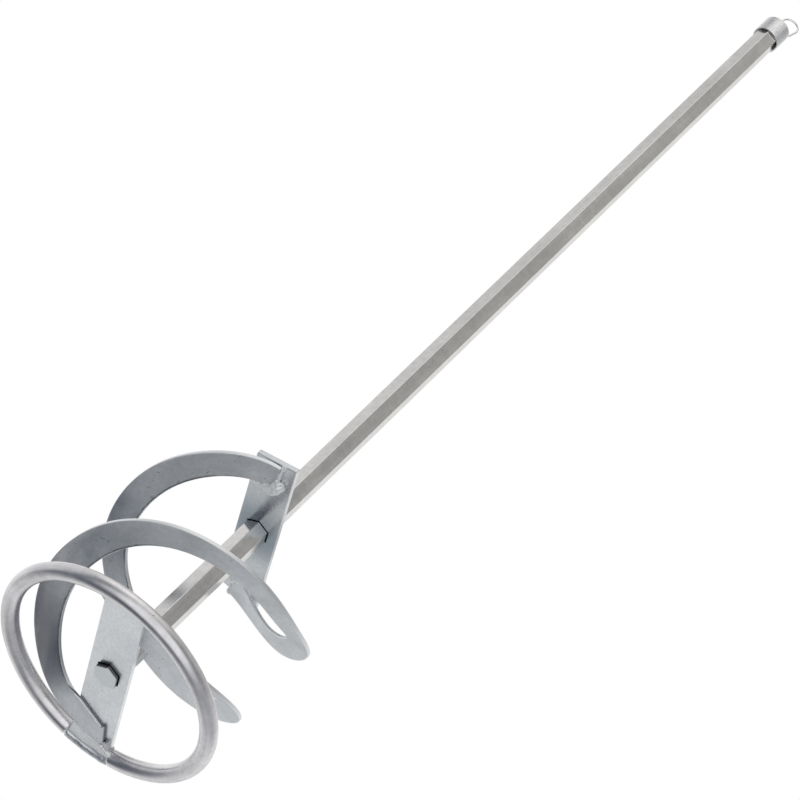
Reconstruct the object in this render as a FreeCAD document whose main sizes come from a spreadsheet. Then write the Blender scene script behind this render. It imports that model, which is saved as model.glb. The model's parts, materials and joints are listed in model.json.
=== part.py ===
"""Mortar mixing paddle: a hexagonal shaft that carries two crossbars, two spiral
blades, a ring at the bottom and a wire clip to hang it by. Millimetres, +Z up the
shaft, origin on the shaft's axis at the lowest point of the ring, +X along the bars."""
import FreeCAD, Part
import Sketcher
import math
import os

Vector = FreeCAD.Vector

# Every driving dimension, in millimetres or degrees. The sheet holds them by these names.
DIMENSIONS = (
    ("ring_diameter", 120.0),
    ("ring_rod_diameter", 8.5),
    ("ring_gap_middle", 180.0),
    ("ring_gap_angle", 24.0),
    ("ring_end_rounding", 1.6),
    ("shaft_across_flats", 11.5),
    ("shaft_corner_radius", 0.5),
    ("shaft_foot_height", 1.5),
    ("shaft_top_height", 587.5),
    ("shaft_end_chamfer", 1.0),
    ("shaft_end_angle", 30.0),
    ("bar_width", 21.5),
    ("bar_thickness", 3.0),
    ("bar_edge_radius", 0.4),
    ("bar_hole_clearance", 0.5),
    ("lower_bar_height", 4.0),
    ("lower_bar_half_length", 50.2),
    ("lower_bar_end_slant", 0.0),
    ("upper_bar_height", 116.0),
    ("upper_bar_half_length", 51.0),
    ("upper_bar_end_slant", 2.2),
    ("blade_thickness", 2.0),
    ("blade_edge_radius", 0.35),
    ("collar_weld_height", 3.0),
    ("collar_weld_foot_radius", 10.0),
    ("collar_weld_top_radius", 7.4),
    ("bead_radius", 2.6),
    ("ring_bead_radius", 1.9),
    ("ring_bead_angle", 22.0),
    ("ring_bead_lift", 2.2),
    ("wire_diameter", 1.0),
    ("clip_turn_pitch", 1.02),
    ("clip_turns", 12.0),
    ("clip_running_clearance", 0.06),
    ("clip_top_height", 590.5),
    ("clip_loop_radius", 4.9),
    ("clip_loop_offset", 4.0),
    ("clip_loop_rise", 7.8),
    ("clip_loop_direction", 98.4),
)

# Stations along each blade: the angle from its own end of the lower bar, the ribbon's
# outer radius, its width, and the height of its underside. The blades are bent by hand,
# so the two don't climb quite alike.
FIRST_STATIONS = (
    (50, 49.5, 14.6, 8.8),
    (80, 55.2, 15.6, 22.5),
    (115, 54.8, 14.8, 36.6),
    (180, 55.8, 14.0, 53.3),
    (220, 56.6, 13.2, 61.3),
    (250, 57.0, 12.4, 68.8),
    (285, 58.0, 13.4, 84.6),
    (320, 56.4, 13.8, 97.6),
    (345, 52.9, 14.2, 108.5),
    (364, 50.9, 15.5, 114.0),
)
SECOND_STATIONS = (
    (50, 49.9, 14.2, 9.1),
    (80, 54.9, 14.2, 22.0),
    (115, 56.4, 14.2, 38.6),
    (180, 56.0, 16.0, 55.3),
    (215, 56.9, 15.8, 64.0),
    (250, 57.2, 14.0, 72.3),
    (285, 56.0, 13.3, 84.6),
    (320, 54.4, 13.4, 98.2),
    (345, 52.4, 14.2, 108.8),
    (364, 50.9, 15.5, 114.0),
)
STATIONS = {"first": FIRST_STATIONS, "second": SECOND_STATIONS}
STATION_TITLES = ("outer_radius", "width", "height")

# The steepness of a blade at its two ends, in millimetres of outer radius, of width and
# of height for each degree of turn.
FOOT_TANGENT = Vector(0.02, -0.04, 0)
HEAD_TANGENT = Vector(-0.05, 0.05, 0.12)

# The section of the weld that closes the ring, as shares of the rod's diameter: how far
# in from the ring's outer side, and how far up from its underside.
RING_JOINT_SECTION = (
    (1.7, 0.24),
    (0.6, 0.24),
    (0.4, 0.12),
    (0.2, 0.1),
    (0.06, 0.26),
    (0.0, 0.5),
    (0.08, 0.73),
    (0.32, 0.9),
    (0.9, 0.9),
    (1.55, 0.5),
)
BLADE_STEP = 6.0

# The bend where the clip's hoop leaves the coil is a little thicker than the wire.
ELBOW_SWELL = 1.08

doc = FreeCAD.newDocument("mortar_mixing_paddle")
sheet = doc.addObject("Spreadsheet::Sheet", "Dimensions")


def fill_sheet():
    """Writes each driving dimension into the sheet and names its cell."""
    for number, (alias, value) in enumerate(DIMENSIONS, start=1):
        sheet.set(f"A{number}", alias)
        sheet.set(f"B{number}", str(value))
        sheet.setAlias(f"B{number}", alias)
    row = len(DIMENSIONS) + 2
    for blade, stations in STATIONS.items():
        for angle, *values in stations:
            for column, title, value in zip("ABC", STATION_TITLES, values):
                sheet.set(f"{column}{row}", str(value))
                sheet.setAlias(f"{column}{row}", f"{blade}_blade_{title}_at_{angle}")
            row += 1
    doc.recompute()


def size(alias):
    """The value of a named cell of the sheet."""
    return float(sheet.get(alias))


def new_body(label):
    body = doc.addObject("PartDesign::Body", label)
    body.Label = label
    return body


def sketch_on(body, plane_role, name):
    """A sketch that lies on one of the body's own origin planes."""
    sketch = body.newObject("Sketcher::SketchObject", name)
    plane = [item for item in body.Origin.OriginFeatures if item.Role == plane_role][0]
    sketch.AttachmentSupport = [(plane, "")]
    sketch.MapMode = "FlatFace"
    return sketch


def add_polygon(sketch, points):
    """Adds a closed run of straight lines to a sketch, joined at their ends."""
    count = len(points)
    for index in range(count):
        start = Vector(*points[index], 0)
        end = Vector(*points[(index + 1) % count], 0)
        sketch.addGeometry(Part.LineSegment(start, end), False)
    for index in range(count):
        following = (index + 1) % count
        sketch.addConstraint(Sketcher.Constraint("Coincident", index, 2, following, 1))


def add_hexagon(sketch, across_flats, expression):
    """Adds a regular hexagon about the origin, with one corner on the sketch's X axis."""
    corner_radius = across_flats / math.sqrt(3)
    corners = []
    for index in range(6):
        angle = math.radians(60 * index)
        corners.append((corner_radius * math.cos(angle), corner_radius * math.sin(angle)))
    add_polygon(sketch, corners)
    circle = Part.Circle(Vector(0, 0, 0), Vector(0, 0, 1), corner_radius)
    guide = sketch.addGeometry(circle, True)
    sketch.addConstraint(Sketcher.Constraint("Coincident", guide, 3, -1, 1))
    for index in range(6):
        sketch.addConstraint(Sketcher.Constraint("PointOnObject", index, 1, guide))
    for index in range(1, 6):
        sketch.addConstraint(Sketcher.Constraint("Equal", 0, index))
    sketch.addConstraint(Sketcher.Constraint("PointOnObject", 0, 1, -1))
    radius = sketch.addConstraint(Sketcher.Constraint("Radius", guide, corner_radius))
    sketch.setExpression(f"Constraints[{radius}]", f"({expression}) / sqrt(3)")


def edges_where(shape, wanted):
    """The names of the edges of a shape that a test picks out."""
    return [f"Edge{i}" for i, edge in enumerate(shape.Edges, start=1) if wanted(edge)]


def make_shaft():
    """The hexagonal shaft, with its long corners eased and its top end turned to a cone."""
    body = new_body("hex_shaft")
    section = sketch_on(body, "XY_Plane", "shaft_section")
    across = size("shaft_across_flats")
    add_hexagon(section, across, "Dimensions.shaft_across_flats")
    pad = body.newObject("PartDesign::Pad", "shaft_pad")
    pad.Profile = section
    pad.setExpression(
        "Length", "Dimensions.shaft_top_height - Dimensions.shaft_foot_height"
    )
    doc.recompute()
    length = size("shaft_top_height") - size("shaft_foot_height")
    corners = edges_where(pad.Shape, lambda edge: edge.Length > length / 2)
    easing = body.newObject("PartDesign::Fillet", "shaft_corners")
    easing.Base = (pad, corners)
    easing.setExpression("Radius", "Dimensions.shaft_corner_radius")
    doc.recompute()
    turned = sketch_on(body, "XZ_Plane", "shaft_end_section")
    face_radius = across / 2 - size("shaft_end_chamfer") / 2
    outside = face_radius + 2 * size("shaft_end_chamfer")
    drop = (outside - face_radius) * math.tan(math.radians(size("shaft_end_angle")))
    add_polygon(turned, ((face_radius, length), (outside, length - drop), (outside, length)))
    groove = body.newObject("PartDesign::Groove", "shaft_turned_end")
    groove.Profile = turned
    groove.ReferenceAxis = (turned, ["V_Axis"])
    groove.Angle = 360.0
    body.setExpression("Placement.Base.z", "Dimensions.shaft_foot_height")
    return body


def make_crossbar(label, prefix):
    """A flat bar with a hexagonal hole for the shaft. Its ends may be cut on a slant."""
    body = new_body(label)
    outline = sketch_on(body, "XY_Plane", f"{prefix}_outline")
    half_length = size(f"{prefix}_half_length")
    half_width = size("bar_width") / 2
    slant = size(f"{prefix}_end_slant")
    near = half_length - slant
    far = half_length + slant
    add_polygon(
        outline,
        (
            (-near, -half_width),
            (near, -half_width),
            (far, half_width),
            (-far, half_width),
        ),
    )
    rules = (
        ("DistanceX", 1, 1, near, "Dimensions.{0}_half_length - Dimensions.{0}_end_slant"),
        ("DistanceY", 1, 1, -half_width, "-Dimensions.bar_width / 2"),
        ("DistanceX", 2, 1, far, "Dimensions.{0}_half_length + Dimensions.{0}_end_slant"),
        ("DistanceY", 2, 1, half_width, "Dimensions.bar_width / 2"),
        ("DistanceX", 3, 1, -far, "-Dimensions.{0}_half_length - Dimensions.{0}_end_slant"),
        ("DistanceY", 3, 1, half_width, "Dimensions.bar_width / 2"),
        ("DistanceX", 0, 1, -near, "Dimensions.{0}_end_slant - Dimensions.{0}_half_length"),
        ("DistanceY", 0, 1, -half_width, "-Dimensions.bar_width / 2"),
    )
    for kind, line, point, value, expression in rules:
        rule = Sketcher.Constraint(kind, line, point, value)
        index = outline.addConstraint(rule)
        outline.setExpression(f"Constraints[{index}]", expression.format(prefix))
    pad = body.newObject("PartDesign::Pad", f"{prefix}_pad")
    pad.Profile = outline
    pad.setExpression("Length", "Dimensions.bar_thickness")
    doc.recompute()
    easing = body.newObject("PartDesign::Fillet", f"{prefix}_edges")
    easing.Base = (pad, edges_where(pad.Shape, lambda edge: True))
    easing.setExpression("Radius", "Dimensions.bar_edge_radius")
    hole = sketch_on(body, "XY_Plane", f"{prefix}_hole")
    wide = "Dimensions.shaft_across_flats + 2 * Dimensions.bar_hole_clearance"
    hole_across = size("shaft_across_flats") + 2 * size("bar_hole_clearance")
    add_hexagon(hole, hole_across, wide)
    pocket = body.newObject("PartDesign::Pocket", f"{prefix}_pocket")
    pocket.Profile = hole
    pocket.Type = "ThroughAll"
    pocket.Midplane = True
    body.setExpression("Placement.Base.z", f"Dimensions.{prefix}_height")
    return body


def make_ring():
    """The round bar bent into a ring. Its two ends are rounded and stop short of each
    other."""
    rod = doc.addObject("Part::Torus", "ring_rod")
    rod.setExpression(
        "Radius1", "(Dimensions.ring_diameter - Dimensions.ring_rod_diameter) / 2"
    )
    rod.setExpression("Radius2", "Dimensions.ring_rod_diameter / 2")
    rod.setExpression("Angle3", "360 - Dimensions.ring_gap_angle")
    rod.setExpression("Placement.Base.z", "Dimensions.ring_rod_diameter / 2")
    start = size("ring_gap_middle") + size("ring_gap_angle") / 2
    rod.Placement.Rotation = FreeCAD.Rotation(Vector(0, 0, 1), start)
    doc.recompute()
    around_rod = math.pi * size("ring_rod_diameter")
    ends = [
        number
        for number, edge in enumerate(rod.Shape.Edges, start=1)
        if abs(edge.Length - around_rod) < around_rod / 100
    ]
    ring = doc.addObject("Part::Fillet", "base_ring")
    ring.Label = "base_ring"
    ring.Base = rod
    rounding = size("ring_end_rounding")
    ring.Edges = [(number, rounding, rounding) for number in ends]
    return ring


def polar(radius, angle, height):
    """The point at a radius, an angle in degrees and a height."""
    turn = math.radians(angle)
    return Vector(radius * math.cos(turn), radius * math.sin(turn), height)


def blade_law(blade, foot):
    """A smooth curve through the stations. At an angle it gives the ribbon's outer
    radius, width and underside height, as the x, y and z of a vector."""
    angles = [foot["angle"]]
    values = [Vector(foot["outer_radius"], foot["width"], foot["height"])]
    for angle, *_ in STATIONS[blade]:
        sizes = [size(f"{blade}_blade_{title}_at_{angle}") for title in STATION_TITLES]
        angles.append(angle)
        values.append(Vector(*sizes))
    law = Part.BSplineCurve()
    law.interpolate(
        Points=values,
        Parameters=angles,
        InitialTangent=FOOT_TANGENT,
        FinalTangent=HEAD_TANGENT,
        Scale=False,
    )
    return law, angles[0], angles[-1]


def ribbon_solid(blade, foot):
    """The twisted ribbon between a blade's foot and its head."""
    law, first, last = blade_law(blade, foot)
    steps = math.ceil((last - first) / BLADE_STEP)
    angles = [first + (last - first) * index / steps for index in range(steps + 1)]
    thickness = size("blade_thickness")
    corners = {"outer_low": [], "outer_high": [], "inner_low": [], "inner_high": []}
    for angle in angles:
        outer, width, height = law.value(angle)
        corners["outer_low"].append(polar(outer, angle, height))
        corners["outer_high"].append(polar(outer, angle, height + thickness))
        corners["inner_low"].append(polar(outer - width, angle, height))
        corners["inner_high"].append(polar(outer - width, angle, height + thickness))
    edges = {}
    for name, points in corners.items():
        curve = Part.BSplineCurve()
        curve.interpolate(Points=points, Parameters=angles)
        edges[name] = curve.toShape()
    order = ("outer_low", "outer_high", "inner_high", "inner_low")
    faces = []
    for index, name in enumerate(order):
        following = order[(index + 1) % len(order)]
        faces.append(Part.makeRuledSurface(edges[name], edges[following]))
    for end in (0, -1):
        cap = Part.makePolygon([corners[name][end] for name in order + order[:1]])
        faces.append(Part.Face(cap))
    solid = Part.Solid(Part.Shell(faces))
    if solid.Volume < 0:
        solid.reverse()
    return solid


def foot_solid(foot):
    """The flat end of a blade that lies against the lower bar. Its inner side is a run
    of straight cuts and its outer side is one arc."""
    inner_root = polar(foot["outer_radius"] - foot["width"], foot["angle"], foot["height"])
    outer_root = polar(foot["outer_radius"], foot["angle"], foot["height"])
    cuts = [inner_root]
    cuts += [Vector(x, y, foot["height"]) for x, y in foot["cuts"]]
    bulge = Vector(*foot["bulge"], foot["height"])
    wire = [Part.makeLine(a, b) for a, b in zip(cuts, cuts[1:])]
    wire.append(Part.Arc(cuts[-1], bulge, outer_root).toShape())
    wire.append(Part.makeLine(outer_root, inner_root))
    face = Part.Face(Part.Wire(wire))
    return face.extrude(Vector(0, 0, size("blade_thickness")))


def make_blade(blade, foot, start_angle):
    """One spiral blade: a flat foot and a ribbon that climbs a full turn, with the sharp
    edges of the strip eased."""
    shape = ribbon_solid(blade, foot).fuse(foot_solid(foot)).removeSplitter()
    strip = doc.addObject("Part::Feature", f"{blade}_strip")
    strip.Shape = shape.Solids[0]
    strip.Placement = FreeCAD.Placement(
        Vector(0, 0, 0), FreeCAD.Rotation(Vector(0, 0, 1), start_angle)
    )
    label = f"{blade}_spiral_blade"
    easing = doc.addObject("Part::Fillet", label)
    easing.Label = label
    easing.Base = strip
    radius = size("blade_edge_radius")
    easing.Edges = [(i, radius, radius) for i in range(1, len(strip.Shape.Edges) + 1)]
    return easing


def fused(name, pieces):
    """One boolean union of several pieces."""
    union = doc.addObject("Part::MultiFuse", name)
    union.Shapes = pieces
    return union


def cut_away(label, base, neighbours):
    """A sub-part that is a base shape with its neighbours' room cut out of it."""
    tool = neighbours[0]
    if len(neighbours) > 1:
        tool = fused(f"{label}_neighbours", neighbours)
    piece = doc.addObject("Part::Cut", label)
    piece.Label = label
    piece.Base = base
    piece.Tool = tool
    return piece


def make_collar_weld(label, bar_prefix, shaft):
    """The fillet weld round the shaft on the upper side of a crossbar."""
    cone = doc.addObject("Part::Cone", f"{label}_cone")
    cone.setExpression("Radius1", "Dimensions.collar_weld_foot_radius")
    cone.setExpression("Radius2", "Dimensions.collar_weld_top_radius")
    cone.setExpression("Height", "Dimensions.collar_weld_height")
    cone.setExpression(
        "Placement.Base.z", f"Dimensions.{bar_prefix}_height + Dimensions.bar_thickness"
    )
    return cut_away(label, cone, [shaft])


def make_bead(label, drops, neighbours):
    """A weld bead: a chain of drops of metal, less the room of what it joins.
    Each drop is a place and its size as a share of the bead radius."""
    spheres = []
    for index, (place, share) in enumerate(drops):
        drop = doc.addObject("Part::Sphere", f"{label}_drop_{index}")
        drop.setExpression("Radius", f"Dimensions.bead_radius * {share}")
        drop.Placement.Base = place
        spheres.append(drop)
    return cut_away(label, fused(f"{label}_drops", spheres), neighbours)


def make_ring_joint_weld(neighbours):
    """The weld metal that fills the gap between the ring's two ends and carries the
    outline of the ring across the first blade's foot."""
    body = new_body("ring_joint_fill")
    section = sketch_on(body, "XZ_Plane", "ring_joint_section")
    outer = size("ring_diameter") / 2
    rod = size("ring_rod_diameter")
    add_polygon(section, [(outer - inset * rod, up * rod) for inset, up in RING_JOINT_SECTION])
    turn = body.newObject("PartDesign::Revolution", "ring_joint_turn")
    turn.Profile = section
    turn.ReferenceAxis = (section, ["V_Axis"])
    turn.setExpression("Angle", "Dimensions.ring_gap_angle")
    turn.Midplane = True
    middle = size("ring_gap_middle")
    body.Placement.Rotation = FreeCAD.Rotation(Vector(0, 0, 1), middle)
    return cut_away("ring_joint_weld", body, neighbours)


def make_bar_end_weld(neighbours):
    """The bead between the lower bar's other end and the inner side of the ring."""
    bead = doc.addObject("Part::Torus", "bar_end_bead")
    inner = "Dimensions.ring_diameter / 2 - Dimensions.ring_rod_diameter"
    bead.setExpression("Radius1", inner)
    bead.setExpression("Radius2", "Dimensions.ring_bead_radius")
    bead.setExpression("Angle3", "Dimensions.ring_bead_angle")
    bead.setExpression(
        "Placement.Base.z", "Dimensions.lower_bar_height + Dimensions.ring_bead_lift"
    )
    start = -size("ring_bead_angle") / 2
    bead.Placement.Rotation = FreeCAD.Rotation(Vector(0, 0, 1), start)
    return cut_away("bar_end_weld", bead, neighbours)


def make_clip():
    """The hanging clip: a close coil of wire that grips the top of the shaft, whose
    last turn rises into a hoop and comes back down to a free end."""
    across = size("shaft_across_flats")
    easing = size("shaft_corner_radius") * (2 / math.sqrt(3) - 1)
    corner_reach = across / math.sqrt(3) - easing
    wire_radius = size("wire_diameter") / 2
    coil_radius = corner_reach + size("clip_running_clearance") + wire_radius
    pitch = size("clip_turn_pitch")
    turns = size("clip_turns")
    direction = size("clip_loop_direction")
    coil_height = pitch * turns
    coil_foot = size("clip_top_height") - wire_radius - coil_height

    helix = Part.makeHelix(pitch, coil_height, coil_radius)
    section = Part.Wire(
        Part.makeCircle(wire_radius, Vector(coil_radius, 0, 0), Vector(0, 1, 0))
    )
    coil = Part.Wire(helix).makePipeShell([section], True, True)
    coil.translate(Vector(0, 0, coil_foot))
    coil.rotate(Vector(0, 0, 0), Vector(0, 0, 1), direction - 360 * turns)

    loop_radius = size("clip_loop_radius")
    base = size("clip_top_height") - wire_radius
    leg_foot = Vector(coil_radius, 0, base)
    centre = Vector(size("clip_loop_offset"), 0, base + size("clip_loop_rise"))
    reach = leg_foot - centre
    lean = math.acos(loop_radius / reach.Length)
    touch = math.atan2(reach.z, reach.x) + lean
    outer_top = centre + Vector(math.cos(touch), 0, math.sin(touch)) * loop_radius
    crown = centre + Vector(0, 0, loop_radius)
    inner_top = centre - Vector(loop_radius, 0, 0)
    inner_end = Vector(inner_top.x, 0, base + 2 * wire_radius)
    route = Part.Wire(
        [
            Part.makeLine(leg_foot, outer_top),
            Part.Arc(outer_top, crown, inner_top).toShape(),
            Part.makeLine(inner_top, inner_end),
        ]
    )
    ring = Part.Wire(Part.makeCircle(wire_radius, leg_foot, outer_top - leg_foot))
    hoop = route.makePipeShell([ring], True, True)
    elbow = Part.makeSphere(wire_radius * ELBOW_SWELL, leg_foot)
    tip = Part.makeSphere(wire_radius, inner_end)
    hoop = hoop.fuse([elbow, tip])
    hoop.rotate(Vector(0, 0, 0), Vector(0, 0, 1), direction)

    clip = doc.addObject("Part::Feature", "hanging_clip")
    clip.Label = "hanging_clip"
    clip.Shape = coil.fuse(hoop).removeSplitter()
    return clip


def check(pieces):
    """Stops if any object of the document failed or any sub-part isn't one sound solid."""
    for item in doc.Objects:
        if "Invalid" in item.State or "Error" in item.State:
            raise RuntimeError(f"{item.Name} failed: {item.State}")
    for piece in pieces:
        shape = piece.Shape
        if shape.isNull() or not shape.isValid():
            raise RuntimeError(f"{piece.Label} has no valid shape")
        print(
            f"{piece.Label}: {len(shape.Solids)} solid, {len(shape.Faces)} faces, "
            f"{shape.Volume:.0f} mm3, z {shape.BoundBox.ZMin:.2f} to {shape.BoundBox.ZMax:.2f}"
        )


fill_sheet()

lower_face = size("lower_bar_height")
upper_face = size("upper_bar_height")
bar_top = lower_face + size("bar_thickness")

# The first blade's foot lies under the lower bar and the second blade's foot on top of it.
FIRST_FOOT = {
    "angle": 18.0,
    "outer_radius": 45.0,
    "width": 15.5,
    "height": lower_face - size("blade_thickness"),
    "cuts": ((35.9, -3.8), (35.4, -5.6), (47.8, -7.3)),
    "bulge": (45.7, 3.5),
}
SECOND_FOOT = {
    "angle": 28.0,
    "outer_radius": 45.5,
    "width": 14.8,
    "height": bar_top,
    "cuts": ((27.9, 10.6), (40.8, -12.5), (45.7, -16.9), (48.8, -15.6)),
    "bulge": (48.8, 3.0),
}

hex_shaft = make_shaft()
lower_crossbar = make_crossbar("lower_crossbar", "lower_bar")
upper_crossbar = make_crossbar("upper_crossbar", "upper_bar")
base_ring = make_ring()
first_blade = make_blade("first", FIRST_FOOT, 180.0)
second_blade = make_blade("second", SECOND_FOOT, 0.0)

lower_collar = make_collar_weld("lower_collar_weld", "lower_bar", hex_shaft)
upper_collar = make_collar_weld("upper_collar_weld", "upper_bar", hex_shaft)
ring_joint = make_ring_joint_weld([lower_crossbar, first_blade])
bar_end = make_bar_end_weld([base_ring, lower_crossbar, second_blade])

# Drops along each bead, as a place in the blade's own direction and a share of its size.
first_foot_bead = make_bead(
    "first_blade_foot_weld",
    (
        (Vector(-48.2, 7.0, lower_face - 1.9), 0.5),
        (Vector(-49.2, 8.6, lower_face - 1.7), 0.4),
        (Vector(-50.1, 10.1, lower_face - 1.7), 0.45),
        (Vector(-50.7, 11.4, lower_face - 1.7), 0.55),
    ),
    [lower_crossbar, first_blade, ring_joint, base_ring],
)
second_foot_bead = make_bead(
    "second_blade_foot_weld",
    (
        (Vector(31.4, 4.4, bar_top + 0.4), 0.95),
        (Vector(33.3, 1.1, bar_top + 0.6), 1.05),
        (Vector(35.2, -2.3, bar_top + 0.4), 0.95),
        (Vector(37.0, -5.6, bar_top + 0.6), 1.0),
    ),
    [lower_crossbar, second_blade],
)
HEAD_DROPS = (
    (34.6, -5.6, 1.3, 0.9),
    (34.4, -1.6, 1.5, 1.1),
    (36.0, 3.2, 1.6, 1.2),
    (39.0, 5.4, 1.3, 0.95),
)
head_beads = []
for label, side, blade in (
    ("first_blade_head_weld", -1, first_blade),
    ("second_blade_head_weld", 1, second_blade),
):
    drops = [
        (Vector(side * x, side * y, upper_face - drop), share)
        for x, y, drop, share in HEAD_DROPS
    ]
    head_beads.append(make_bead(label, drops, [upper_crossbar, blade]))

hanging_clip = make_clip()
doc.recompute()

sub_parts = [
    hex_shaft,
    lower_crossbar,
    upper_crossbar,
    base_ring,
    first_blade,
    second_blade,
    lower_collar,
    upper_collar,
    ring_joint,
    bar_end,
    first_foot_bead,
    second_foot_bead,
    *head_beads,
    hanging_clip,
]
check(sub_parts)

os.makedirs("parts", exist_ok=True)
for sub_part in sub_parts:
    sub_part.Shape.exportStep(f"parts/{sub_part.Label}.step")
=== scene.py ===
"""Looks of the mortar mixing paddle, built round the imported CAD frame. Metres."""
import json
import math
import bmesh
import bpy
from mathutils import Matrix, Vector, noise


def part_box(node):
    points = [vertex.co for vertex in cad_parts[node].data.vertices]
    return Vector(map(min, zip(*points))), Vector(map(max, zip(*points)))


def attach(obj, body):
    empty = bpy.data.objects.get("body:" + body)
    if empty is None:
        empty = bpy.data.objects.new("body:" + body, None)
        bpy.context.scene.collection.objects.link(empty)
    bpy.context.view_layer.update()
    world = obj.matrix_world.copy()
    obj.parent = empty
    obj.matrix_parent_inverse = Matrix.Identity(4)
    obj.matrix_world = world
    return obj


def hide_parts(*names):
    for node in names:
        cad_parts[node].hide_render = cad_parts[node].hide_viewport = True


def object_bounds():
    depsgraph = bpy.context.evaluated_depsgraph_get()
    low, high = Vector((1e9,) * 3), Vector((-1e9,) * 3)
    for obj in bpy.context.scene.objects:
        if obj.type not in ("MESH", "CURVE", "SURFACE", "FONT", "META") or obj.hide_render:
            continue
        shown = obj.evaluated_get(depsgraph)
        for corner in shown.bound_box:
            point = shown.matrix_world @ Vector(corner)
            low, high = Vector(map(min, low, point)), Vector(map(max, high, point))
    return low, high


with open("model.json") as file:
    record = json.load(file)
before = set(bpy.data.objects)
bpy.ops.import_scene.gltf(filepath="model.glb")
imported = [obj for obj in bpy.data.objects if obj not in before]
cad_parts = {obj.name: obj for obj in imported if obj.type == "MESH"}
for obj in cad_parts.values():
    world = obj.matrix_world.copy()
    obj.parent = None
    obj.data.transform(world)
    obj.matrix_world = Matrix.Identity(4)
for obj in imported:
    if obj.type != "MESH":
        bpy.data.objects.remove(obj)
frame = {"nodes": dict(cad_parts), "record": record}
CAD_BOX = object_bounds()
NODES = frame["nodes"]
SLOT_OF = {row["node"]: row["material_slot"] for row in frame["record"]["subparts"]}
MM = 0.001


# ---------------------------------------------------------------- node helpers
class Graph:
    """A short way to add and join the nodes of one tree."""

    def __init__(self, tree):
        self.nodes = tree.nodes
        self.links = tree.links
        self.nodes.clear()

    def add(self, kind, inputs=None, **settings):
        node = self.nodes.new(kind)
        for key, value in settings.items():
            setattr(node, key, value)
        for key, value in (inputs or {}).items():
            self.feed(node.inputs[key], value)
        return node

    def feed(self, socket, value):
        if isinstance(value, bpy.types.NodeSocket):
            self.links.new(value, socket)
        else:
            socket.default_value = value

    def math(self, operation, *values):
        return self.add("ShaderNodeMath", dict(enumerate(values)), operation=operation).outputs[0]

    def vector(self, operation, a, b):
        node = self.add("ShaderNodeVectorMath", {0: a, 1: b}, operation=operation)
        return node.outputs["Value" if operation == "DOT_PRODUCT" else 0]

    def spread(self, value, start, end, low=0.0, high=1.0):
        """Maps a range of a value to another, with eased ends."""
        inputs = {
            "Value": value,
            "From Min": start,
            "From Max": end,
            "To Min": low,
            "To Max": high,
        }
        node = self.add("ShaderNodeMapRange", inputs, interpolation_type="SMOOTHSTEP")
        return node.outputs[0]

    def noise(self, vector, w=None, scale=1.0, detail=4.0, rough=0.55):
        inputs = {"Vector": vector, "Scale": scale, "Detail": detail, "Roughness": rough}
        if w is not None:
            inputs["W"] = w
        kind = "3D" if w is None else "4D"
        return self.add("ShaderNodeTexNoise", inputs, noise_dimensions=kind).outputs[0]

    def blend(self, factor, a, b, kind="MIX"):
        """Mixes two colours. Its colour sockets share names with others, so they go by number."""
        node = self.add("ShaderNodeMix", data_type="RGBA", blend_type=kind)
        for socket, value in ((0, factor), (6, a), (7, b)):
            self.feed(node.inputs[socket], value)
        return node.outputs[2]

    def axes(self, place):
        """The x, y and z of a place."""
        return self.add("ShaderNodeSeparateXYZ", {0: place}).outputs

    def from_axis(self, place):
        """How far a place is from the tool's axis."""
        axes = self.axes(place)
        flat = self.add("ShaderNodeCombineXYZ", {0: axes[0], 1: axes[1]}).outputs[0]
        length = self.add("ShaderNodeVectorMath", {0: flat}, operation="LENGTH")
        return length.outputs["Value"]

    def rough_skin(self, height):
        """A bump from a height in metres."""
        bump = self.add("ShaderNodeBump", {"Strength": 1.0, "Distance": 1.0, "Height": height})
        return bump.outputs[0]


def colour(r, g, b):
    return (r, g, b, 1.0)


# ------------------------------------------------------------------- materials
def new_metal(name, metallic=1.0):
    """A new metal material: the material, its graph, its shader and the place on the part."""
    material = bpy.data.materials.new(name)
    material.use_nodes = True
    graph = Graph(material.node_tree)
    out = graph.add("ShaderNodeOutputMaterial")
    shader = graph.add("ShaderNodeBsdfPrincipled", {"Metallic": metallic})
    graph.links.new(shader.outputs[0], out.inputs["Surface"])
    place = graph.add("ShaderNodeTexCoord").outputs["Object"]
    return material, graph, shader, place


def drawn_out(graph, place, flow, across, along):
    """A place whose noise is drawn out along the way the steel was drawn: up the shaft,
    along the bars, or round the axis. Returns a vector, and a w where it is needed."""
    if flow != "round":
        scale = {
            "up": (across, across, along),
            "bar": (along, across, across),
            "even": (across, across, across),
        }[flow]
        return graph.vector("MULTIPLY", place, scale), None
    axes = graph.axes(place)
    radius = graph.math("MULTIPLY", graph.from_axis(place), across)
    height = graph.math("MULTIPLY", axes[2], across)
    east = graph.math("MULTIPLY", axes[0], along)
    north = graph.math("MULTIPLY", axes[1], along)
    inputs = {0: radius, 1: height, 2: east}
    return graph.add("ShaderNodeCombineXYZ", inputs).outputs[0], north


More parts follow.
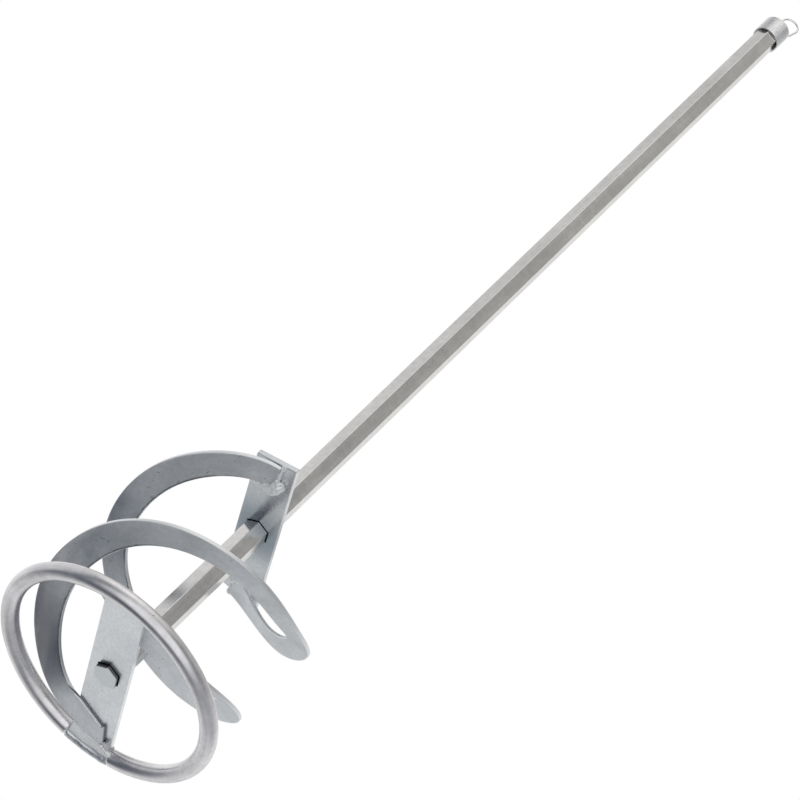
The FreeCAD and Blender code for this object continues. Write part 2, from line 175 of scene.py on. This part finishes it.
def steel(name, light, dark, rough, flow, grain_scale, relief, contrast=(0.95, 1.03),
          cloud=22.0, specks=0.0, marks_and_painted_light=None):
    """Zinc plated steel: cloudy zinc, grain along the drawn length, patchy gloss and fine
    specks. grain_scale is across and along the grain, relief is the depth of the grain and
    of the slow waves, and the last argument is a function that adds this piece's own marks
    and its painted light and shade."""
    material, graph, shader, place = new_metal(name)
    clouds = graph.noise(place, scale=cloud, detail=7.0, rough=0.62)
    tone = graph.blend(graph.spread(clouds, 0.36, 0.64), dark, light)
    grain = graph.noise(*drawn_out(graph, place, flow, *grain_scale), detail=5.0, rough=0.6)
    streaks = graph.spread(grain, 0.34, 0.66, *contrast)
    tone = graph.blend(1.0, tone, streaks, "MULTIPLY")
    mottle = graph.noise(place, scale=cloud * 14, detail=3.0)
    tone = graph.blend(1.0, tone, graph.spread(mottle, 0.3, 0.7, 0.94, 1.04), "MULTIPLY")
    if specks:
        dots = graph.noise(place, scale=900.0, detail=2.0, rough=0.4)
        mask = graph.spread(dots, 0.735 - specks, 0.80 - specks)
        tone = graph.blend(mask, tone, colour(0.16, 0.16, 0.17))
    # The function given last adds marks and painted light and shade.
    if marks_and_painted_light:
        tone = marks_and_painted_light(graph, place, tone)
    graph.feed(shader.inputs["Base Color"], tone)

    patches = graph.noise(place, scale=cloud * 2.5, detail=5.0)
    half_grain = graph.math("MULTIPLY", grain, 0.5)
    gloss = graph.math("ADD", half_grain, graph.math("MULTIPLY", patches, 0.5))
    graph.feed(shader.inputs["Roughness"], graph.spread(gloss, 0.36, 0.64, *rough))
    wave = graph.noise(place, scale=90.0, detail=2.0)
    fine = graph.math("MULTIPLY", grain, relief[0])
    height = graph.math("ADD", fine, graph.math("MULTIPLY", wave, relief[1]))
    graph.feed(shader.inputs["Normal"], graph.rough_skin(height))
    return material


def bare_end_painted_shade(graph, place, tone):
    """The shaft's lower end: a bare end face, with painted shade on the sides just above it."""
    end_face = 1.7 * MM
    shade_fade = 0.9 * MM
    shade_top = 4.2 * MM
    height = graph.axes(place)[2]
    painted_shade = graph.spread(height, end_face, end_face + shade_fade)
    painted_shade = graph.math("MULTIPLY", painted_shade, graph.math("LESS_THAN", height, shade_top))
    # Painted shade: the sides between the end face and the bar are darkened.
    tone = graph.blend(painted_shade, tone, colour(0.10, 0.10, 0.11))
    at_end = graph.math("LESS_THAN", height, end_face)
    return graph.blend(at_end, tone, colour(0.67, 0.695, 0.71))


def painted_shaft_reflection(graph, place, tone):
    """A painted reflection of the shaft on the upper bar: blue-grey round the shaft, fading along
    the bar.
    """
    reflection_start = 5 * MM
    reflection_end = 27 * MM
    above_lower_bar = 60 * MM
    near = graph.spread(graph.from_axis(place), reflection_start, reflection_end, 1.0, 0.2)
    upper = graph.math("GREATER_THAN", graph.axes(place)[2], above_lower_bar)
    # Painted reflection: the bar darkens to blue-grey near the shaft.
    return graph.blend(graph.math("MULTIPLY", near, upper), tone, colour(0.31, 0.36, 0.40))


def blade_painted_light(graph, place, tone):
    """A blade's painted light and shade: a ragged line of painted shade along part of its
    inner edge, painted highlights on its edge faces, painted shade where the first blade's
    foot meets the bar, and painted shade low on one side."""
    edge_reach = 1.9 * MM
    foot_height = 4.0 * MM
    # The sides that get painted shade, and the colours of the painted shade and highlights.
    inner_shade_side = (-0.25, -0.97, 0.0)
    low_shade_side = (-0.38, -0.92, 0.0)
    painted_shade_tone = colour(0.10, 0.105, 0.12)
    painted_highlight = colour(0.86, 0.87, 0.88)
    low_shade_tone = colour(0.22, 0.235, 0.26)

    rounded = graph.add("ShaderNodeBevel", {"Radius": edge_reach}, samples=8).outputs[0]
    flat = graph.vector("MULTIPLY", place, (1.0, 1.0, 0.0))
    radial = graph.add("ShaderNodeVectorMath", {0: flat}, operation="NORMALIZE").outputs[0]
    height = graph.axes(place)[2]
    lean = graph.vector("DOT_PRODUCT", rounded, radial)
    ragged = graph.noise(place, scale=420.0, detail=4.0, rough=0.6)
    wander = graph.math("MULTIPLY", graph.math("SUBTRACT", ragged, 0.5), 0.5)
    inward = graph.math("SUBTRACT", wander, lean)
    outward = graph.math("ADD", lean, wander)

    # Painted shade: a ragged dark line along the inner edge, on one side and above the foot.
    rim = graph.spread(inward, 0.04, 0.16)
    rim = graph.math("MULTIPLY", rim, graph.spread(inward, 0.42, 0.56, 1.0, 0.0))
    patchy = graph.spread(graph.noise(place, scale=70.0, detail=3.0), 0.30, 0.52, 0.35, 1.0)
    sided = graph.spread(graph.vector("DOT_PRODUCT", radial, inner_shade_side), -0.1, 0.45)
    climbing = graph.spread(height, foot_height, foot_height + 2 * MM)
    sided = graph.math("MULTIPLY", sided, climbing)
    rim = graph.math("MULTIPLY", rim, graph.math("MULTIPLY", patchy, sided))
    tone = graph.blend(rim, tone, painted_shade_tone)
    # Painted highlight on the inner edge faces.
    tone = graph.blend(graph.spread(inward, 0.5, 0.62), tone, painted_highlight)

    # Painted shade on the first blade's foot sides, darkest where they meet the bar.
    facing = graph.add("ShaderNodeNewGeometry").outputs["Normal"]
    steep = graph.math("ABSOLUTE", graph.vector("DOT_PRODUCT", facing, (0.0, 0.0, 1.0)))
    contact = graph.spread(height, foot_height - 1.6 * MM, foot_height - 0.3 * MM)
    contact = graph.math("MULTIPLY", contact, graph.spread(steep, 0.4, 0.7, 1.0, 0.0))
    under = graph.math("LESS_THAN", height, foot_height + 0.1 * MM)
    tone = graph.blend(graph.math("MULTIPLY", contact, under), tone, painted_shade_tone)

    # Painted shade low down on one side of the blades.
    low_shade_mask = graph.spread(graph.vector("DOT_PRODUCT", radial, low_shade_side), 0.72, 0.97)
    low_down = graph.spread(height, 16 * MM, 30 * MM, 0.62, 0.0)
    tone = graph.blend(graph.math("MULTIPLY", low_shade_mask, low_down), tone, low_shade_tone)
    # Painted highlight on the outer edges.
    return graph.blend(graph.spread(outward, 0.3, 0.6), tone, painted_highlight)


def weld_metal(name, light, dark, pit_and_shade_tone, rough):
    """Weld metal: bright lumps with painted shade in the hollows between them, and dark pits."""
    material, graph, shader, place = new_metal(name, metallic=0.7)
    clouds = graph.noise(place, scale=260.0, detail=6.0, rough=0.6)
    tone = graph.blend(graph.spread(clouds, 0.35, 0.65), dark, light)
    # Painted shade in the hollows between the lumps, found by pointiness.
    hollow = graph.add("ShaderNodeNewGeometry").outputs["Pointiness"]
    ragged = graph.math("MULTIPLY", graph.math("SUBTRACT", clouds, 0.5), 0.06)
    painted_shade = graph.spread(graph.math("ADD", hollow, ragged), 0.40, 0.46, 1.0, 0.0)
    tone = graph.blend(painted_shade, tone, pit_and_shade_tone)
    dots = graph.noise(place, scale=700.0, detail=2.0)
    tone = graph.blend(graph.spread(dots, 0.68, 0.76), tone, pit_and_shade_tone)
    graph.feed(shader.inputs["Base Color"], tone)
    graph.feed(shader.inputs["Roughness"], graph.spread(dots, 0.35, 0.65, *rough))
    fine = graph.noise(place, scale=1500.0, detail=4.0, rough=0.6)
    height = graph.math("MULTIPLY", fine, 0.06 * MM)
    graph.feed(shader.inputs["Normal"], graph.rough_skin(height))
    return material


MATERIALS = {
    "shaft_steel": steel(
        "shaft_zinc", colour(0.80, 0.785, 0.765), colour(0.71, 0.70, 0.685), (0.10, 0.20),
        "up", (260.0, 6.0), (0.01 * MM, 0.03 * MM), specks=0.01, marks_and_painted_light=bare_end_painted_shade,
    ),
    "bar_steel": steel(
        "bar_zinc", colour(0.87, 0.885, 0.895), colour(0.79, 0.805, 0.82), (0.20, 0.30),
        "bar", (260.0, 40.0), (0.01 * MM, 0.03 * MM), contrast=(0.97, 1.02), cloud=40.0,
        specks=0.006, marks_and_painted_light=painted_shaft_reflection,
    ),
    "ring_steel": steel(
        "ring_zinc", colour(0.91, 0.885, 0.895), colour(0.77, 0.745, 0.755), (0.22, 0.34),
        "round", (420.0, 26.0), (0.03 * MM, 0.02 * MM), contrast=(0.84, 1.05), specks=0.015,
    ),
    "blade_steel": steel(
        "blade_zinc", colour(0.75, 0.765, 0.78), colour(0.64, 0.66, 0.685), (0.34, 0.46),
        "round", (200.0, 30.0), (0.01 * MM, 0.05 * MM), cloud=30.0, specks=0.01,
        marks_and_painted_light=blade_painted_light,
    ),
    "weld_metal": weld_metal(
        "weld_zinc", colour(0.98, 0.98, 0.97), colour(0.88, 0.885, 0.88),
        # The third colour is for the dark pits and the painted shade in the hollows.
        colour(0.09, 0.09, 0.095), (0.46, 0.62),
    ),
    "clip_wire": steel(
        "wire_zinc", colour(0.98, 0.97, 0.96), colour(0.92, 0.91, 0.90), (0.22, 0.30),
        "even", (300.0, 300.0), (0.002 * MM, 0.002 * MM), contrast=(0.98, 1.01), cloud=40.0,
    ),
}
FILL_ZINC = steel(
    "fill_zinc", colour(0.82, 0.825, 0.835), colour(0.71, 0.715, 0.73), (0.30, 0.42),
    "even", (300.0, 300.0), (0.004 * MM, 0.04 * MM), contrast=(0.96, 1.02), cloud=60.0,
    specks=0.02,
)
for name, item in NODES.items():
    item.data.materials.clear()
    item.data.materials.append(MATERIALS[SLOT_OF[name]])


# ---------------------------------------------------------------------- pieces
def new_piece(name, mesh, node, body, material=None):
    """Puts a mesh in the scene in the place of a CAD node."""
    for face in mesh.polygons:
        face.use_smooth = True
    slot = SLOT_OF[node]
    mesh.materials.clear()
    mesh.materials.append(material or MATERIALS[slot])
    piece = bpy.data.objects.new(name, mesh)
    bpy.context.scene.collection.objects.link(piece)
    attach(piece, body)
    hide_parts(node)


WIRE_SIDES = 14
DOME = ((0.4, 0.92), (0.7, 0.7), (0.9, 0.35))


def swept_wire(name, path, radii):
    """A round wire along a path, with a radius for each point. Its ends are domed: DOME
    says how far out each ring stands and how wide it is, as shares of the radius."""
    shell = bmesh.new()
    rings = []
    side = (path[1] - path[0]).orthogonal().normalized()
    last = len(path) - 1
    for index, (point, radius) in enumerate(zip(path, radii)):
        ahead = (path[min(index + 1, last)] - path[max(index - 1, 0)]).normalized()
        side = (side - ahead * side.dot(ahead)).normalized()
        up = ahead.cross(side)
        stops = [(0.0, 1.0)]
        if index == 0:
            stops = [(-shift, share) for shift, share in reversed(DOME)] + stops
        if index == last:
            stops = stops + list(DOME)
        for shift, share in stops:
            ring = []
            for step in range(WIRE_SIDES):
                turn = 2 * math.pi * step / WIRE_SIDES
                spoke = side * math.cos(turn) + up * math.sin(turn)
                ring.append(shell.verts.new(point + ahead * shift * radius + spoke * radius * share))
            rings.append(ring)
    for low, high in zip(rings, rings[1:]):
        for step in range(WIRE_SIDES):
            other = (step + 1) % WIRE_SIDES
            shell.faces.new((low[step], low[other], high[other], high[step]))
    shell.faces.new(list(reversed(rings[0])))
    shell.faces.new(rings[-1])
    bmesh.ops.recalc_face_normals(shell, faces=shell.faces)
    mesh = bpy.data.meshes.new(name)
    shell.to_mesh(mesh)
    shell.free()
    return mesh


def eased(path, first, last, passes):
    """Rounds the corners of a stretch of a path."""
    for _ in range(passes):
        path[first:last] = [
            (path[i - 1] + path[i] * 2 + path[i + 1]) / 4 for i in range(first, last)
        ]
    return path


# The clip: one wire, a close coil whose last turn rises into a hoop.
WIRE_RADIUS = 0.5 * MM
WIRE_STEP = 0.35 * MM
COIL_TURNS = 12
COIL_PITCH = 1.02 * MM
HOOP_RADIUS = 4.8 * MM
HOOP_SWELL = 0.1 * MM
HOOP_OFFSET = 4.0 * MM
HOOP_DIRECTION = math.radians(98.4)
HOOP_SWELL_RISE = 2 * MM
COIL_SLACK = 0.05 * MM
SLACK_RATE = 0.37
LIFT_RATE = 0.61
CORNER_POINTS = 8
CORNER_PASSES = 16
clip_low, clip_high = (Vector(corner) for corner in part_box("hanging_clip"))
coil_radius = (clip_high.x - clip_low.x) / 2 - WIRE_RADIUS
coil_foot = clip_low.z + WIRE_RADIUS
coil_head = coil_foot + COIL_TURNS * COIL_PITCH


def in_hoop(out, height):
    """A point in the hoop's upright plane."""
    return Vector((out * math.cos(HOOP_DIRECTION), out * math.sin(HOOP_DIRECTION), height))


def clip_path():
    """The wire's middle line: up the coil, into the hoop and down to its free end."""
    path = []
    count = round(COIL_TURNS * 2 * math.pi * coil_radius / WIRE_STEP)
    for index in range(count):
        share = index / count
        turn = HOOP_DIRECTION - 2 * math.pi * COIL_TURNS * (1 - share)
        loose = 0.5 + 0.5 * math.sin(turn * SLACK_RATE + 1.0)
        reach = coil_radius + COIL_SLACK * loose
        lift = COIL_SLACK * math.sin(turn * LIFT_RATE) * math.sin(math.pi * share)
        height = coil_foot + (coil_head - coil_foot) * share + lift
        path.append(Vector((reach * math.cos(turn), reach * math.sin(turn), height)))
    corner = len(path)
    centre = Vector((HOOP_OFFSET, clip_high.z - WIRE_RADIUS - HOOP_SWELL - HOOP_RADIUS))
    foot = Vector((coil_radius, coil_head))
    reach = foot - centre
    touch = math.atan2(reach.y, reach.x) + math.acos(HOOP_RADIUS / reach.length)
    top = centre + Vector((math.cos(touch), math.sin(touch))) * HOOP_RADIUS
    count = round((top - foot).length / WIRE_STEP)
    path += [in_hoop(*foot.lerp(top, index / count)) for index in range(count)]
    count = round((math.pi - touch) * HOOP_RADIUS / WIRE_STEP)
    for index in range(count):
        turn = touch + (math.pi - touch) * index / count
        path.append(in_hoop(*(centre + Vector((math.cos(turn), math.sin(turn))) * HOOP_RADIUS)))
    end = Vector((centre.x - HOOP_RADIUS, coil_head + 2 * WIRE_RADIUS))
    start = Vector((end.x, centre.y))
    count = round((start - end).length / WIRE_STEP)
    path += [in_hoop(*start.lerp(end, index / count)) for index in range(count + 1)]
    return eased(path, corner - CORNER_POINTS, corner + CORNER_POINTS, CORNER_PASSES)


clip_line = clip_path()
clip_radii = []
for point in clip_line:
    above = (point.z - coil_head) / HOOP_SWELL_RISE
    clip_radii.append(WIRE_RADIUS + HOOP_SWELL * min(1.0, max(0.0, above)))
wire = swept_wire("wire_clip", clip_line, clip_radii)
new_piece("wire_clip", wire, "hanging_clip", "clip")


# Welds: the CAD bead with more drops of metal on it, joined to one skin and made uneven.
LUMP_SIZE = 2.6 * MM
GRIT_SIZE = 0.9 * MM
PIT_SIZE = 1.5 * MM
PIT_LEVEL = 0.35
SAME_PLACE = 0.002 * MM
VOXEL = 0.3 * MM
BOX_MARGIN = 0.02 * MM
FLOOR_RELIEF = (0.08 * MM, 0.02 * MM, 0)


def uneven(place, coarse, fine, pits):
    """How far the skin of a weld stands out at a place."""
    lumps = noise.noise(place / LUMP_SIZE) * coarse
    grit = noise.noise(place / GRIT_SIZE + Vector((7, 3, 5))) * fine
    spots = noise.noise(place / PIT_SIZE + Vector((2, 9, 4)))
    return lumps + grit - max(0.0, spots - PIT_LEVEL) * pits


def weld_piece(node, relief, drops=(), passes=3, floor=None, material=None):
    """The CAD bead, joined with drops of metal to one skin, smoothed and made uneven.
    relief is its swell, its coarse and fine lumps and the depth of its pits. Drops are
    given as shares of the bead's own box, with their radius in metres. floor is a height
    that the skin stays above, and how far from the axis that height starts to sink."""
    swell, coarse, fine, pits = relief
    low, high = (Vector(corner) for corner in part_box(node))
    span = high - low
    bead = bmesh.new()
    bead.from_mesh(NODES[node].data)
    bmesh.ops.remove_doubles(bead, verts=bead.verts, dist=SAME_PLACE)
    for across, deep, up, radius in drops:
        place = low + Vector((across * span.x, deep * span.y, up * span.z))
        place = Matrix.Translation(place)
        bmesh.ops.create_icosphere(bead, subdivisions=3, radius=radius, matrix=place)
    rough_mesh = bpy.data.meshes.new(node + "_rough")
    bead.to_mesh(rough_mesh)
    bead.free()
    holder = bpy.data.objects.new(node + "_rough", rough_mesh)
    bpy.context.scene.collection.objects.link(holder)
    remesh = holder.modifiers.new("skin", "REMESH")
    remesh.mode = "VOXEL"
    remesh.voxel_size = VOXEL
    bpy.context.view_layer.update()
    graph = bpy.context.evaluated_depsgraph_get()
    mesh = bpy.data.meshes.new_from_object(holder.evaluated_get(graph))
    bpy.data.objects.remove(holder)
    skin = bmesh.new()
    skin.from_mesh(mesh)
    for _ in range(passes):
        bmesh.ops.smooth_vert(
            skin, verts=skin.verts, factor=0.5, use_axis_x=True, use_axis_y=True, use_axis_z=True
        )
    skin.normal_update()
    moved = []
    for vert in skin.verts:
        out = swell + uneven(vert.co, coarse, fine, pits)
        moved.append(vert.co + vert.normal * out)
    for vert, place in zip(skin.verts, moved):
        if floor is not None:
            height, reach = floor
            sunk = height - max(0.0, math.hypot(place.x, place.y) - reach)
            place.z = max(place.z, sunk + uneven(vert.co, *FLOOR_RELIEF))
        place.x = max(place.x, CAD_BOX[0][0] + BOX_MARGIN)
        vert.co = place
    skin.to_mesh(mesh)
    skin.free()
    mesh.name = node + "_bead"
    new_piece(node + "_bead", mesh, node, "paddle", material)


# A head weld: the nugget, a drop of spatter, and the bead along the strip's end, which
# runs past the CAD bead's box, so its shares go over 1.
HEAD_LUMPS = (
    (0.60, 0.75, 0.52, 2.9 * MM),
    (0.74, 0.83, 0.60, 2.2 * MM),
    (0.42, 0.66, 0.50, 2.7 * MM),
    (0.46, 0.54, 0.46, 2.2 * MM),
    (0.43, 0.41, 0.50, 1.9 * MM),
    (0.37, 0.19, 0.62, 1.4 * MM),
    (0.78, 0.19, 0.52, 0.9 * MM),
    (1.02, 0.70, 0.70, 1.4 * MM),
    (1.26, 0.725, 0.80, 1.0 * MM),
    (1.42, 0.735, 0.80, 0.9 * MM),
    (1.58, 0.745, 0.80, 0.95 * MM),
    (1.74, 0.755, 0.80, 0.9 * MM),
    (1.90, 0.76, 0.80, 1.1 * MM),
    (2.02, 0.78, 0.90, 1.0 * MM),
)
HEAD_RELIEF = (0.2 * MM, 0.6 * MM, 0.16 * MM, 2.0 * MM)
COLLAR_RELIEF = (0.2 * MM, 0.7 * MM, 0.15 * MM, 1.0 * MM)
TURNED_LUMPS = [(1 - across, 1 - deep, up, size) for across, deep, up, size in HEAD_LUMPS]
weld_piece("first_blade_head_weld", HEAD_RELIEF, TURNED_LUMPS)
weld_piece("second_blade_head_weld", HEAD_RELIEF, HEAD_LUMPS)
weld_piece("first_blade_foot_weld", (0.1 * MM, 0.2 * MM, 0.06 * MM, 0.3 * MM), passes=1)
weld_piece("second_blade_foot_weld", (0.25 * MM, 0.5 * MM, 0.15 * MM, 1.0 * MM))
weld_piece("bar_end_weld", (0.2 * MM, 0.4 * MM, 0.12 * MM, 0.8 * MM))
weld_piece("lower_collar_weld", COLLAR_RELIEF)
weld_piece("upper_collar_weld", COLLAR_RELIEF)

# The ring's joint is level with the blade's foot on its inner side, and follows the rod
# on its outer side.
blade_low = Vector(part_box("first_spiral_blade")[0])
ring_low, ring_high = (Vector(corner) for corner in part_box("base_ring"))
rod = ring_high.z - ring_low.z
joint_floor = (blade_low.z, ring_high.x - 0.6 * rod)
weld_piece("ring_joint_weld", (0.3 * MM, 0.15 * MM, 0.05 * MM, 0.3 * MM), passes=6,
           floor=joint_floor, material=FILL_ZINC)

# ---------------------------------------------------------------------- camera
# It looks up from below the ring, at the middle of the tool, turned so that the shaft
# runs from corner to corner of the picture.
AIM = Vector((-0.8, 2.6, 229.5)) * MM
DISTANCE = 1.8443
AZIMUTH = math.radians(17.806)
ELEVATION = math.radians(-37.854)
ROLL = math.radians(45.959)
turn = (
    Matrix.Rotation(math.pi / 2 + AZIMUTH, 4, "Z")
    @ Matrix.Rotation(math.pi / 2 - ELEVATION, 4, "X")
    @ Matrix.Rotation(ROLL, 4, "Z")
)
camera = bpy.data.objects.new("camera", bpy.data.cameras.new("camera"))
bpy.context.scene.collection.objects.link(camera)
camera.matrix_world = Matrix.Translation(AIM) @ turn @ Matrix.Translation((0, 0, DISTANCE))
camera.data.sensor_width = 36.0
camera.data.lens = 172.64
camera.data.clip_end = 20.0
bpy.context.scene.camera = camera

# ----------------------------------------------------------------------- light
# Soft light from all round, with wide soft panels: where each one is, where its edge
# starts and ends as a cosine, and how strong it is. A negative one takes light away.
AMBIENT = (0.17, 0.183, 0.20)
PANELS = (
    ((-0.95, -0.20, 0.15), 0.25, 0.97, (0.53, 0.53, 0.52)),
    ((-0.86, -0.22, 0.46), 0.88, 0.99, (-0.18, -0.18, -0.18)),
    ((-0.70, -0.60, -0.40), 0.75, 0.97, (0.10, 0.10, 0.10)),
    ((-0.50, 0.80, -0.10), 0.50, 0.95, (0.25, 0.25, 0.25)),
    ((-0.60, 0.35, 0.70), 0.55, 0.95, (0.04, 0.04, 0.05)),
    ((-0.60, 0.30, -0.74), 0.84, 0.99, (0.10, 0.10, 0.10)),
    ((0.05, -0.97, 0.10), 0.72, 0.97, (0.34, 0.34, 0.34)),
    ((0.10, -0.75, 0.65), 0.30, 0.90, (0.20, 0.20, 0.21)),
    ((0.0, 0.0, 1.0), 0.10, 0.90, (0.32, 0.30, 0.27)),
    ((0.75, 0.24, -0.61), 0.50, 0.95, (0.75, 0.75, 0.75)),
    ((0.82, -0.10, 0.56), 0.75, 0.97, (0.45, 0.45, 0.44)),
    ((-0.05, -0.62, -0.78), 0.80, 0.97, (-0.08, -0.08, -0.07)),
    ((-0.10, 0.0, -1.0), 0.90, 1.00, (-0.05, -0.045, -0.04)),
)
world = bpy.data.worlds.new("studio")
bpy.context.scene.world = world
world.use_nodes = True
studio = Graph(world.node_tree)
out = studio.add("ShaderNodeOutputWorld")
around = studio.add("ShaderNodeTexCoord").outputs["Generated"]
glow = AMBIENT
for direction, start, end, tint in PANELS:
    facing = studio.vector("DOT_PRODUCT", around, Vector(direction).normalized())
    share = studio.spread(facing, start, end)
    glow = studio.vector("ADD", studio.vector("MULTIPLY", share, tint), glow)
seen = studio.add("ShaderNodeLightPath").outputs["Is Camera Ray"]
white = studio.blend(seen, glow, colour(1, 1, 1))
back = studio.add("ShaderNodeBackground", {"Color": white, "Strength": 1.0})
studio.links.new(back.outputs[0], out.inputs[0])
bpy.context.scene.view_settings.view_transform = "Standard"

# The floor is seen only from above, because the camera looks up from below it.
FLOOR_SIZE = 6.0
FLOOR_GAP = 0.3 * MM
bpy.ops.mesh.primitive_plane_add(size=FLOOR_SIZE, location=(0, 0, -FLOOR_GAP))
floor = bpy.context.object
floor.name = "floor"
pale = bpy.data.materials.new("pale_floor")
pale.use_nodes = True
graph = Graph(pale.node_tree)
out = graph.add("ShaderNodeOutputMaterial")
matt = graph.add("ShaderNodeBsdfDiffuse", {"Color": colour(0.9, 0.9, 0.9)})
clear = graph.add("ShaderNodeBsdfTransparent")
below = graph.add("ShaderNodeNewGeometry").outputs["Backfacing"]
choose = graph.add("ShaderNodeMixShader", {0: below, 1: matt.outputs[0], 2: clear.outputs[0]})
graph.links.new(choose.outputs[0], out.inputs["Surface"])
floor.data.materials.append(pale)
floor.visible_diffuse = False
floor.visible_glossy = False
floor.visible_shadow = False
floor.visible_transmission = False
